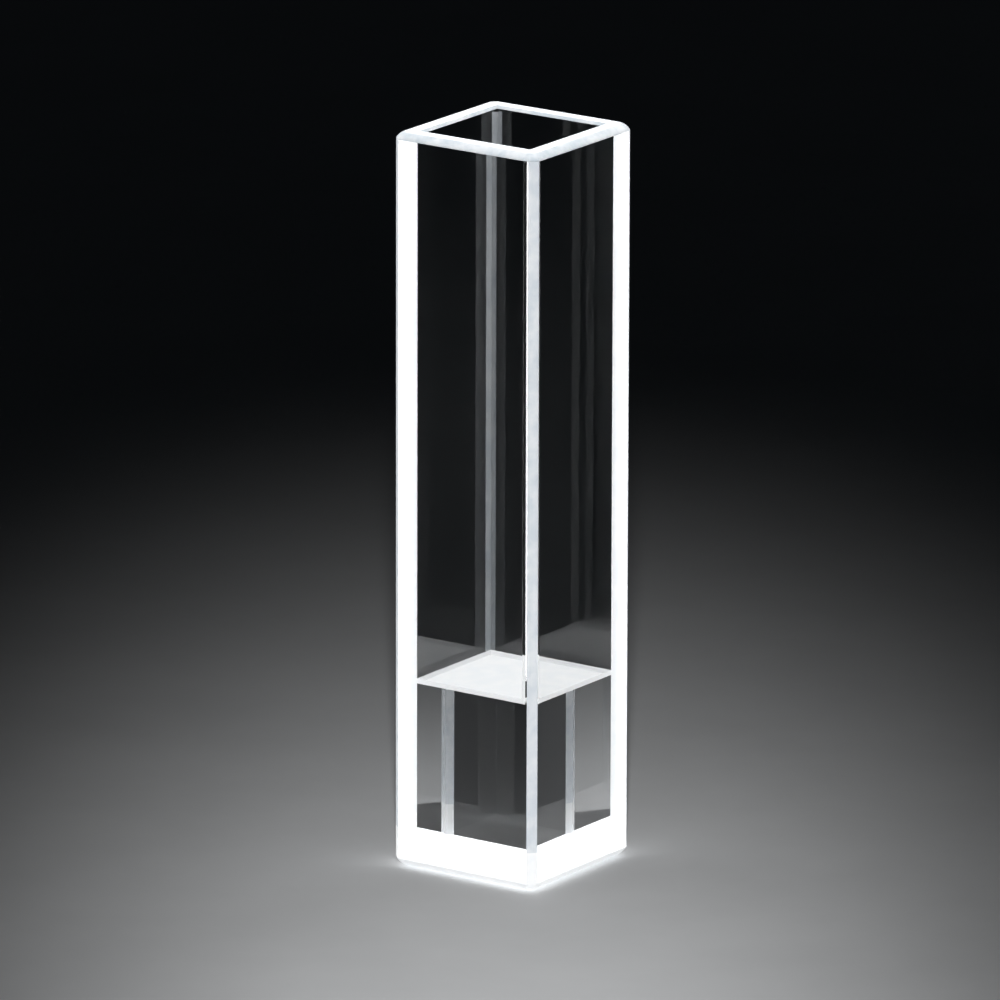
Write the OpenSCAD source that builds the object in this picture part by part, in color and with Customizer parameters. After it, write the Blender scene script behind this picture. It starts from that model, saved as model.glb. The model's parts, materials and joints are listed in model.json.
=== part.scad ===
// Square laboratory cuvette: one fused glass body with a square chamber above a
// thick solid base block. The origin is the centre of the underside, +Z is up.

/* [Body] */
// Outer width and depth of the square body
body_w = 12.5; // [10:0.5:20]
// Overall height
body_h = 55; // [40:1:80]

/* [Chamber] */
// Thickness of the four walls
wall_t = 1.6; // [1:0.1:2.5]
// Height of the chamber floor above the underside
floor_z = 13.85; // [5:0.05:25]

/* [Ground edges] */
// Leg of the bevel on the four upright outer edges
edge_bevel = 0.5; // [0.1:0.05:0.7]
// Leg of the bevel around the outside of the rim
rim_bevel = 0.45; // [0.1:0.05:0.6]
// Leg of the bevel around the underside
base_bevel = 0.6; // [0.1:0.05:1]
// Leg of the bevel around the mouth of the chamber
mouth_bevel = 0.2; // [0.05:0.05:0.3]

/* [Hidden] */
// How far a cutting shape runs past the face that it cuts
overcut = 1;
half_w = body_w / 2;
chamber_w = body_w - 2 * wall_t;
half_chamber = chamber_w / 2;
mouth_z = body_h - mouth_bevel;

// Plan of the body: a square with its four corners bevelled
module body_plan() {
    inner = half_w - edge_bevel;
    polygon([
        [-inner, -half_w], [inner, -half_w], [half_w, -inner], [half_w, inner],
        [inner, half_w], [-inner, half_w], [-half_w, inner], [-half_w, -inner]
    ]);
}

// Side view of the body: bevelled at the underside and at the rim
module body_side() {
    base_half = half_w - base_bevel;
    rim_half = half_w - rim_bevel;
    polygon([
        [-base_half, 0], [base_half, 0], [half_w, base_bevel],
        [half_w, body_h - rim_bevel], [rim_half, body_h], [-rim_half, body_h],
        [-half_w, body_h - rim_bevel], [-half_w, base_bevel]
    ]);
}

// Side view of the chamber: straight walls that flare at the mouth
module chamber_side() {
    flare_half = half_chamber + mouth_bevel + overcut;
    polygon([
        [-half_chamber, floor_z], [half_chamber, floor_z], [half_chamber, mouth_z],
        [flare_half, body_h + overcut], [-flare_half, body_h + overcut],
        [-half_chamber, mouth_z]
    ]);
}

// A side view as a bar that runs through the body along Y
module along_y() {
    depth = body_w + 2 * overcut;
    translate([0, depth / 2, 0])
        rotate([90, 0, 0])
            linear_extrude(height = depth)
                children();
}

// A side view made true from both directions, along X and along Y
module from_both_sides() {
    intersection() {
        along_y() children();
        rotate([0, 0, 90]) along_y() children();
    }
}

// The solid outer form, before the chamber is cut
module outer_form() {
    intersection() {
        linear_extrude(height = body_h) body_plan();
        from_both_sides() body_side();
    }
}

// The whole cuvette: walls, base block and chamber floor in one piece
module cuvette() {
    color([0.86, 0.92, 0.95, 0.45])
        difference() {
            outer_form();
            from_both_sides() chamber_side();
        }
}

cuvette();
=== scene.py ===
"""Looks of the cuvette: polished glass walls, ground white edges, a pale floor and soft studio light."""
import json
import math

import bmesh
import bpy
from mathutils import Matrix, Quaternion, Vector


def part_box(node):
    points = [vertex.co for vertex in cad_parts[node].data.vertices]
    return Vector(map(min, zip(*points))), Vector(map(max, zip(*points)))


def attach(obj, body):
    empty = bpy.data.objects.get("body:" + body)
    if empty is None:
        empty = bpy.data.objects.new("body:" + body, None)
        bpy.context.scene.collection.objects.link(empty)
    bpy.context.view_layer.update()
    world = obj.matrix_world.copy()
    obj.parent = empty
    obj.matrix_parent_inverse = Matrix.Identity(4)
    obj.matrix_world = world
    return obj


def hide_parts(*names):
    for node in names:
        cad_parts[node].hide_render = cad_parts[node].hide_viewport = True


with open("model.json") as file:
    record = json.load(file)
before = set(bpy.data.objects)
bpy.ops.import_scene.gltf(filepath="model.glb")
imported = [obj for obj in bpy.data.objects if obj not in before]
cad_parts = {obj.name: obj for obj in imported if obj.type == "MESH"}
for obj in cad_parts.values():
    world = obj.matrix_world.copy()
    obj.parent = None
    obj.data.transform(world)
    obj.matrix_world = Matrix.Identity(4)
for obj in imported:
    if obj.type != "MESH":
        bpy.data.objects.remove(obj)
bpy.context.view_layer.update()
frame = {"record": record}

MM = 0.001

# --- Sizes, in metres -----------------------------------------------------------------
node_low, node_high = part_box("cuvette")
HALF = (node_high.x - node_low.x) / 2
HEIGHT = node_high.z - node_low.z
chamber_low, chamber_high = (Vector(p) for p in frame["record"]["physics"]["openings"][0]["box_m"])
CHAMBER_GAP = 0.1 * MM            # the stated opening stands this far clear of the glass
CHAMBER_HALF = chamber_high.x + CHAMBER_GAP
FLOOR_Z = chamber_low.z - CHAMBER_GAP
EDGE_BEVEL = 0.5 * MM             # upright outer edges
CORNER_CUT = 0.35 * MM            # the same at the rim and at the foot
RIM_ROUND = 0.5 * MM              # outside of the rim
BASE_ROUND = 0.65 * MM            # around the underside
MOUTH_BEVEL = 0.2 * MM            # inside of the rim
FROST_HEIGHT = 3.0 * MM           # the upright edges are frosted with the base up to here
SOFTENING = 0.06 * MM             # how far the rounding of an upright edge reaches
ROUND_STEPS = 8                   # facets across the rim's and the base's rounding
FULLNESS = 1.4                    # 2 makes that rounding a circle, 1 makes it a plain bevel
FILM = 0.02 * MM                  # thickness of a joint between two walls
INSET = 0.08 * MM                 # how far a joint stops short of the outside
FRONT_SHADE_LINE = 0.26 * MM           # width of the painted shade line inside the front corner, and of the white film below it
FRONT_SHADE_LINE_RISE = 3.7 * MM       # how far above the chamber's floor that painted shade line starts
SEAM = 0.36 * MM                  # height of the white seam around the chamber's floor
FLOOR_GAP = 0.01 * MM             # the studio floor lies this far under the foot

POLISHED, RIM_GROUND_PAINTED_SHADE, EDGE_GROUND, FROSTED = range(4)    # material indices on the body


# --- Body -----------------------------------------------------------------------------
def ground_square(half, cut, z):
    """A square with softly cut corners, anticlockwise: four points for each corner."""
    points = []
    for turn in range(4):
        spin = Matrix.Rotation(turn * math.pi / 2, 3, "Z")
        along, onward = spin @ Vector((0, -1, 0)), spin @ Vector((1, 0, 0))
        slant = (along + onward).normalized()
        corner = spin @ Vector((-half, -half, 0)) + Vector((0, 0, z))
        points += [corner - along * (cut + SOFTENING), corner - along * cut + slant * SOFTENING,
                   corner + onward * cut - slant * SOFTENING, corner + onward * (cut + SOFTENING)]
    return points


def square(half, z):
    return [Vector((x * half, y * half, z)) for x, y in ((-1, -1), (1, -1), (1, 1), (-1, 1))]


def bridge(bm, lower, upper, flat, slanted):
    """Quads between two rings: every fourth side is a flat wall, the others are its corners."""
    count = len(lower)
    for i in range(count):
        j = (i + 1) % count
        face = bm.faces.new((lower[i], lower[j], upper[j], upper[i]))
        face.material_index = flat if count == 4 or i % 4 == 3 else slanted


def rounding(extent):
    """Insets and heights along a rounded bevel, from the wall to the end face."""
    for step in range(ROUND_STEPS + 1):
        angle = step / ROUND_STEPS * math.pi / 2
        power = 2 / FULLNESS
        inset = extent * (1 - max(math.cos(angle), 0.0) ** power)
        rise = extent * math.sin(angle) ** power
        yield inset, rise, EDGE_BEVEL + (CORNER_CUT - EDGE_BEVEL) * step / ROUND_STEPS


def grind_end(bm, out, across):
    """Frosts the end of a wall: the stretch of one outer side beyond the chamber's inner face."""
    side = []
    for face in bm.faces:
        if face.normal.dot(out) > 0.999 and face.calc_center_median().dot(out) > CHAMBER_HALF:
            side.append(face)
    near = {part for face in side for part in (face, *face.edges, *face.verts)}
    parts = bmesh.ops.bisect_plane(bm, geom=list(near), plane_co=across * CHAMBER_HALF,
                                   plane_no=across)["geom"]
    for face in (g for g in parts if isinstance(g, bmesh.types.BMFace)):
        if face.calc_center_median().dot(across) > CHAMBER_HALF:
            face.material_index = FROSTED


def build_body():
    bm = bmesh.new()

    def add(ring):
        return [bm.verts.new(point) for point in ring]

    base = [add(ground_square(HALF - inset, cut, BASE_ROUND - rise))
            for inset, rise, cut in rounding(BASE_ROUND)]
    top = [add(ground_square(HALF - inset, cut, HEIGHT - RIM_ROUND + rise))
           for inset, rise, cut in rounding(RIM_ROUND)]
    mouth = add(square(CHAMBER_HALF + MOUTH_BEVEL, HEIGHT))
    throat = add(square(CHAMBER_HALF, HEIGHT - MOUTH_BEVEL))
    floor = add(square(CHAMBER_HALF, FLOOR_Z))

    for lower, upper in zip(base, base[1:]):
        bridge(bm, lower, upper, FROSTED, FROSTED)
    band = add(ground_square(HALF, EDGE_BEVEL, FROST_HEIGHT))
    bridge(bm, base[0], band, POLISHED, FROSTED)
    bridge(bm, band, top[0], POLISHED, EDGE_GROUND)
    for lower, upper in zip(top, top[1:]):
        bridge(bm, lower, upper, RIM_GROUND_PAINTED_SHADE, RIM_GROUND_PAINTED_SHADE)
    rim = top[-1]
    for i in range(4):
        j = (i + 1) % 4
        side = bm.faces.new((rim[4 * i + 3], rim[4 * j], mouth[j], mouth[i]))
        corner = bm.faces.new((*rim[4 * i:4 * i + 4], mouth[i]))
        side.material_index = corner.material_index = EDGE_GROUND
    for corners in (base[-1], floor):
        bm.faces.new(corners).material_index = FROSTED
    bridge(bm, mouth, throat, RIM_GROUND_PAINTED_SHADE, RIM_GROUND_PAINTED_SHADE)
    bridge(bm, throat, floor, POLISHED, POLISHED)
    bmesh.ops.recalc_face_normals(bm, faces=bm.faces)
    grind_end(bm, Vector((-1, 0, 0)), Vector((0, -1, 0)))
    grind_end(bm, Vector((0, 1, 0)), Vector((1, 0, 0)))
    return object_from(bm, "cuvette_glass")


def object_from(bm, name):
    mesh = bpy.data.meshes.new(name)
    bm.to_mesh(mesh)
    bm.free()
    made = bpy.data.objects.new(name, mesh)
    bpy.context.scene.collection.objects.link(made)
    return made


def add_slab(bm, low, high):
    """A closed box between two corners."""
    verts = bmesh.ops.create_cube(bm, size=1.0)["verts"]
    size = [high[i] - low[i] for i in range(3)]
    centre = [(high[i] + low[i]) / 2 for i in range(3)]
    place = Matrix.Translation(centre) @ Matrix.Diagonal((*size, 1))
    bmesh.ops.transform(bm, matrix=place, verts=verts)


def add_tray(bm):
    """A thin skin just inside the foot and the rounding around it."""
    skins = []
    for gap in (FILM, 2 * FILM):
        skin = []
        for inset, rise, cut in rounding(BASE_ROUND):
            ring = ground_square(HALF - inset - gap, cut, BASE_ROUND - rise + gap)
            skin.append([bm.verts.new(point) for point in ring])
        skins.append(skin)
    outer, inner = skins
    for skin in skins:
        for lower, upper in zip(skin, skin[1:]):
            bridge(bm, lower, upper, 0, 0)
        bm.faces.new(skin[-1])
    bridge(bm, outer[0], inner[0], 0, 0)


def add_seam(bm):
    """A low film in each wall, around the chamber's floor."""
    half = CHAMBER_HALF
    for turn in range(4):
        spin = Matrix.Rotation(turn * math.pi / 2, 3, "Z")
        ends = [spin @ Vector((-half, half + FILM, 0)), spin @ Vector((half, half + 2 * FILM, 0))]
        low = (min(end.x for end in ends), min(end.y for end in ends), FLOOR_Z)
        high = (max(end.x for end in ends), max(end.y for end in ends), FLOOR_Z + SEAM)
        add_slab(bm, low, high)


def build_side_joints():
    """What is white through the walls: wall ends at two corners, the seam and the ground foot."""
    bm = bmesh.new()
    outer, inner = HALF - INSET, CHAMBER_HALF
    edge = HALF - EDGE_BEVEL
    z_low, z_high = BASE_ROUND, HEIGHT - RIM_ROUND
    add_slab(bm, (-outer, -inner - FILM, z_low), (-inner, -inner, z_high))
    add_slab(bm, (-outer - FILM, -edge, z_low), (-outer, -inner, z_high))
    add_slab(bm, (inner, inner, z_low), (inner + FILM, outer, z_high))
    add_slab(bm, (inner, outer, z_low), (edge, outer + FILM, z_high))
    add_seam(bm)
    add_slab(bm, (inner + FILM, -inner - 2 * FILM, FLOOR_Z),
             (inner + FILM + FRONT_SHADE_LINE, -inner - FILM, FLOOR_Z + FRONT_SHADE_LINE_RISE))
    add_tray(bm)
    bmesh.ops.recalc_face_normals(bm, faces=bm.faces)
    return object_from(bm, "side_joints")


def build_back_joint():
    """The faint joint at the back corner, beside the chamber only: one side of it, then the other. The
    two sides take veils of different density, painted light on the left and painted shade on the right.
    """
    bm = bmesh.new()
    outer, inner = HALF - EDGE_BEVEL, CHAMBER_HALF + FILM
    z_low, z_high = FLOOR_Z, HEIGHT - RIM_ROUND
    add_slab(bm, (-outer, inner, z_low), (-inner, inner + FILM, z_high))
    add_slab(bm, (-inner - FILM, inner, z_low), (-inner, outer, z_high))
    bm.faces.ensure_lookup_table()
    for face in bm.faces:
        face.material_index = int(face.calc_center_median().y > inner + FILM)
    return object_from(bm, "back_joint")


def build_painted_shade_sheet():
    """A near-black sheet inside the front corner, painted shade as a dark line; it keeps the corner from
    guiding a white one.
    """
    bm = bmesh.new()
    inner = CHAMBER_HALF + FILM
    z_low, z_high = FLOOR_Z + FRONT_SHADE_LINE_RISE, HEIGHT - RIM_ROUND
    add_slab(bm, (inner, -inner - FILM, z_low), (inner + FRONT_SHADE_LINE, -inner, z_high))
    return object_from(bm, "painted_shade_sheet")


# --- Materials ------------------------------------------------------------------------
GLASS_IOR = 1.52


def principled(name):
    """A new material, with its node tree and shader."""
    material = bpy.data.materials.new(name)
    material.use_nodes = True
    tree = material.node_tree
    return material, tree, tree.nodes["Principled BSDF"]


def noise(tree, scale, detail=4.0, roughness=0.55):
    """Noise in the object's own metres, from a scale in features a metre."""
    place = tree.nodes.new("ShaderNodeTexCoord")
    node = tree.nodes.new("ShaderNodeTexNoise")
    node.inputs["Scale"].default_value = scale
    node.inputs["Detail"].default_value = detail
    node.inputs["Roughness"].default_value = roughness
    tree.links.new(place.outputs["Object"], node.inputs["Vector"])
    return node.outputs["Fac"]


def spread(tree, value, low, high, from_low=0.35, from_high=0.65):
    """Stretches the middle of a noise over a range."""
    node = tree.nodes.new("ShaderNodeMapRange")
    node.inputs["From Min"].default_value = from_low
    node.inputs["From Max"].default_value = from_high
    node.inputs["To Min"].default_value = low
    node.inputs["To Max"].default_value = high
    tree.links.new(value, node.inputs["Value"])
    return node.outputs["Result"]


def tint(tree, value, low, high):
    """Runs from one colour to another as a noise rises."""
    node = tree.nodes.new("ShaderNodeValToRGB")
    node.color_ramp.elements[0].position = 0.36
    node.color_ramp.elements[0].color = (*low, 1)
    node.color_ramp.elements[1].position = 0.64
    node.color_ramp.elements[1].color = (*high, 1)
    tree.links.new(value, node.inputs["Fac"])
    return node.outputs["Color"]


def grain(tree, shader, value, strength, depth):
    """A fine bump."""
    node = tree.nodes.new("ShaderNodeBump")
    node.inputs["Strength"].default_value = strength
    node.inputs["Distance"].default_value = depth
    tree.links.new(value, node.inputs["Height"])
    tree.links.new(node.outputs["Normal"], shader.inputs["Normal"])


def polished_glass():
    """Clear glass with the faintest haze of wiping."""
    material, tree, shader = principled("polished_glass")
    shader.inputs["Base Color"].default_value = (0.985, 0.995, 1.0, 1.0)
    shader.inputs["IOR"].default_value = GLASS_IOR
    shader.inputs["Transmission Weight"].default_value = 1.0
    haze = spread(tree, noise(tree, 220), 0.0, 0.03)
    tree.links.new(haze, shader.inputs["Roughness"])
    return material


def ground_glass(name, dull, bright, transmission, grain_strength):
    """Ground glass: mottled, matt and finely grained."""
    material, tree, shader = principled(name)
    shader.inputs["IOR"].default_value = GLASS_IOR
    shader.inputs["Transmission Weight"].default_value = transmission
    tree.links.new(tint(tree, noise(tree, 900, 5.0), dull, bright), shader.inputs["Base Color"])
    tree.links.new(spread(tree, noise(tree, 2500), 0.5, 0.8), shader.inputs["Roughness"])
    grain(tree, shader, noise(tree, 9000, 3.0), grain_strength, 0.01 * MM)
    return material


def joint_film(name, alpha, dull, bright):
    """A thin veil in a joint, as dense as its alpha says."""
    material, tree, shader = principled(name)
    shader.inputs["Roughness"].default_value = 0.6
    shader.inputs["Alpha"].default_value = alpha
    tree.links.new(tint(tree, noise(tree, 700), dull, bright), shader.inputs["Base Color"])
    return material


# The rim's ground glass: its own mottled blue-grey, and painted shade, since it is made far darker than
# the other ground glass to hold it down under the strong top lamp.
rim_ground_painted_shade = ground_glass("ground_rim_painted_shade", (0.37, 0.42, 0.46), (0.52, 0.54, 0.56), 0.03, 0.35)
edge_ground = ground_glass("ground_edge", (0.63, 0.68, 0.73), (0.76, 0.79, 0.82), 0.03, 0.35)
frosted = ground_glass("frosted_glass", (0.93, 0.95, 0.97), (0.98, 0.985, 0.99), 0.0, 0.2)
VEIL = (0.7, 0.76, 0.82), (0.9, 0.94, 0.97)
# Near-black colour of the sheet inside the front corner: painted shade
SHADE = (0.010, 0.011, 0.012), (0.016, 0.017, 0.018)

body = build_body()
for finish in (polished_glass(), rim_ground_painted_shade, edge_ground, frosted):
    body.data.materials.append(finish)
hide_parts("cuvette")
side_joints = build_side_joints()
side_joints.data.materials.append(frosted)
back_joint = build_back_joint()
# The joint's left side is a denser veil than its right: painted light on one side of the corner, painted
# shade on the other.
back_joint.data.materials.append(joint_film("veil_left_painted_light", 0.2, *VEIL))
back_joint.data.materials.append(joint_film("veil_right_painted_shade", 0.09, *VEIL))
# A near-black sheet inside the front corner: painted shade
painted_shade_sheet = build_painted_shade_sheet()
painted_shade_sheet.data.materials.append(joint_film("painted_shade_line", 1.0, *SHADE))
PIECES = (body, side_joints, back_joint, painted_shade_sheet)
for piece in PIECES:
    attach(piece, "root")


# --- Floor, light, camera ---------------------------------------------------------------
def build_floor():
    """A plain pale floor, a hair below the foot."""
    bm = bmesh.new()
    bmesh.ops.create_grid(bm, x_segments=1, y_segments=1, size=3.0)
    made = object_from(bm, "studio_floor")
    made.location.z = -FLOOR_GAP
    material, tree, shader = principled("pale_floor")
    tree.links.new(tint(tree, noise(tree, 60), (0.76, 0.77, 0.78), (0.80, 0.81, 0.82)),
                   shader.inputs["Base Color"])
    shader.inputs["Roughness"].default_value = 0.9
    shader.inputs["Specular IOR Level"].default_value = 0.05
    grain(tree, shader, noise(tree, 1500), 0.1, 0.02 * MM)
    made.data.materials.append(material)
    return made


def direction(azimuth, elevation):
    a, e = math.radians(azimuth), math.radians(elevation)
    return Vector((math.sin(a) * math.cos(e), -math.cos(a) * math.cos(e), math.sin(e)))


def receivers(name, objects):
    """A collection that a lamp is limited to."""
    made = bpy.data.collections.new(name)
    for member in objects:
        made.objects.link(member)
    return made


def softbox(name, azimuth, elevation, distance, size, power, look, lit, opening=180.0,
            shaded=None):
    """A square lamp that lights only some objects and, where shaded is given, is shaded only by those."""
    data = bpy.data.lights.new(name, "AREA")
    data.shape = "RECTANGLE"
    data.size, data.size_y = size, size
    data.energy = power
    data.spread = math.radians(opening)
    lamp = bpy.data.objects.new(name, data)
    lamp.location = look + direction(azimuth, elevation) * distance
    lamp.rotation_mode = "QUATERNION"
    lamp.rotation_quaternion = (look - lamp.location).to_track_quat("-Z", "Y")
    bpy.context.scene.collection.objects.link(lamp)
    lamp.light_linking.receiver_collection = lit
    if shaded:
        lamp.light_linking.blocker_collection = shaded


CAMERA_AZIMUTH = 34.9
LAMP_DISTANCE = 0.5
WIDE, NARROW = 0.45, 0.3          # sides of the lamps
MIDDLE = Vector((0, 0, HEIGHT / 2))
floor = build_floor()
on_object = receivers("on_object", PIECES)
on_floor = receivers("on_floor", [floor])
on_joints = receivers("on_joints", [side_joints, back_joint])
# Lamps limited to these light what lies inside the glass as if the glass cast no shadow
not_the_glass = receivers("not_the_glass", [painted_shade_sheet])
for name, turn, elevation, power in (("front", 10, 12, 3.1), ("side_left", -110, 15, 2.6),
                                     ("side_right", 130, 15, 2.6), ("back", 190, 12, 1.2)):
    softbox(name, CAMERA_AZIMUTH + turn, elevation, LAMP_DISTANCE, WIDE, power, MIDDLE, on_object)
for name, elevation, power in (("top", 89.9, 3.1), ("table", -89.9, 0.6)):
    softbox(name, 0, elevation, LAMP_DISTANCE, NARROW, power, MIDDLE, on_object,
            shaded=not_the_glass)
for name, azimuth, power in (("joint_left", 0, 2.6), ("joint_right", 90, 2.6),
                             ("joint_rear", 180, 0.7), ("joint_far", 270, 0.7)):
    softbox(name, azimuth, 30, LAMP_DISTANCE, NARROW, power, MIDDLE, on_joints,
            shaded=not_the_glass)
POOL = direction(CAMERA_AZIMUTH, 0) * 70 * MM    # the floor is brightest here, before the object
softbox("floor_key", CAMERA_AZIMUTH, 21, 1.0, 0.04, 0.02, POOL, on_floor, 5.5)

world = bpy.data.worlds.new("studio")
world.use_nodes = True
world.node_tree.nodes["Background"].inputs["Color"].default_value = (0.003, 0.0035, 0.004, 1)
bpy.context.scene.world = world

LOOK = Vector((0, 0, 25 * MM))
CAMERA_ELEVATION = 15.43
CAMERA_DISTANCE = 0.996
CAMERA_ROLL = 0.143
AIM_RIGHT, AIM_UP = -0.885 * MM, 2.11 * MM    # where the middle of the frame falls from LOOK

camera_data = bpy.data.cameras.new("camera")
camera_data.sensor_width = 36
camera_data.lens = 494.5
camera_data.clip_start, camera_data.clip_end = 0.01, 20
camera = bpy.data.objects.new("camera", camera_data)
back = direction(CAMERA_AZIMUTH, CAMERA_ELEVATION)
right = Vector((0, 0, 1)).cross(back).normalized()
up = back.cross(right)
camera.location = LOOK + back * CAMERA_DISTANCE
aim = LOOK + right * AIM_RIGHT + up * AIM_UP
camera.rotation_mode = "QUATERNION"
facing = (aim - camera.location).to_track_quat("-Z", "Y")
camera.rotation_quaternion = facing @ Quaternion((0, 0, 1), math.radians(CAMERA_ROLL))
bpy.context.scene.collection.objects.link(camera)
bpy.context.scene.camera = camera

# Light crosses many glass surfaces and is reflected within the walls before it gets out
cycles = bpy.context.scene.cycles
cycles.max_bounces = 32
cycles.glossy_bounces = 24
cycles.transmission_bounces = 32
cycles.diffuse_bounces = 6
cycles.caustics_reflective = False
cycles.caustics_refractive = False
bpy.context.scene.view_settings.view_transform = "Standard"
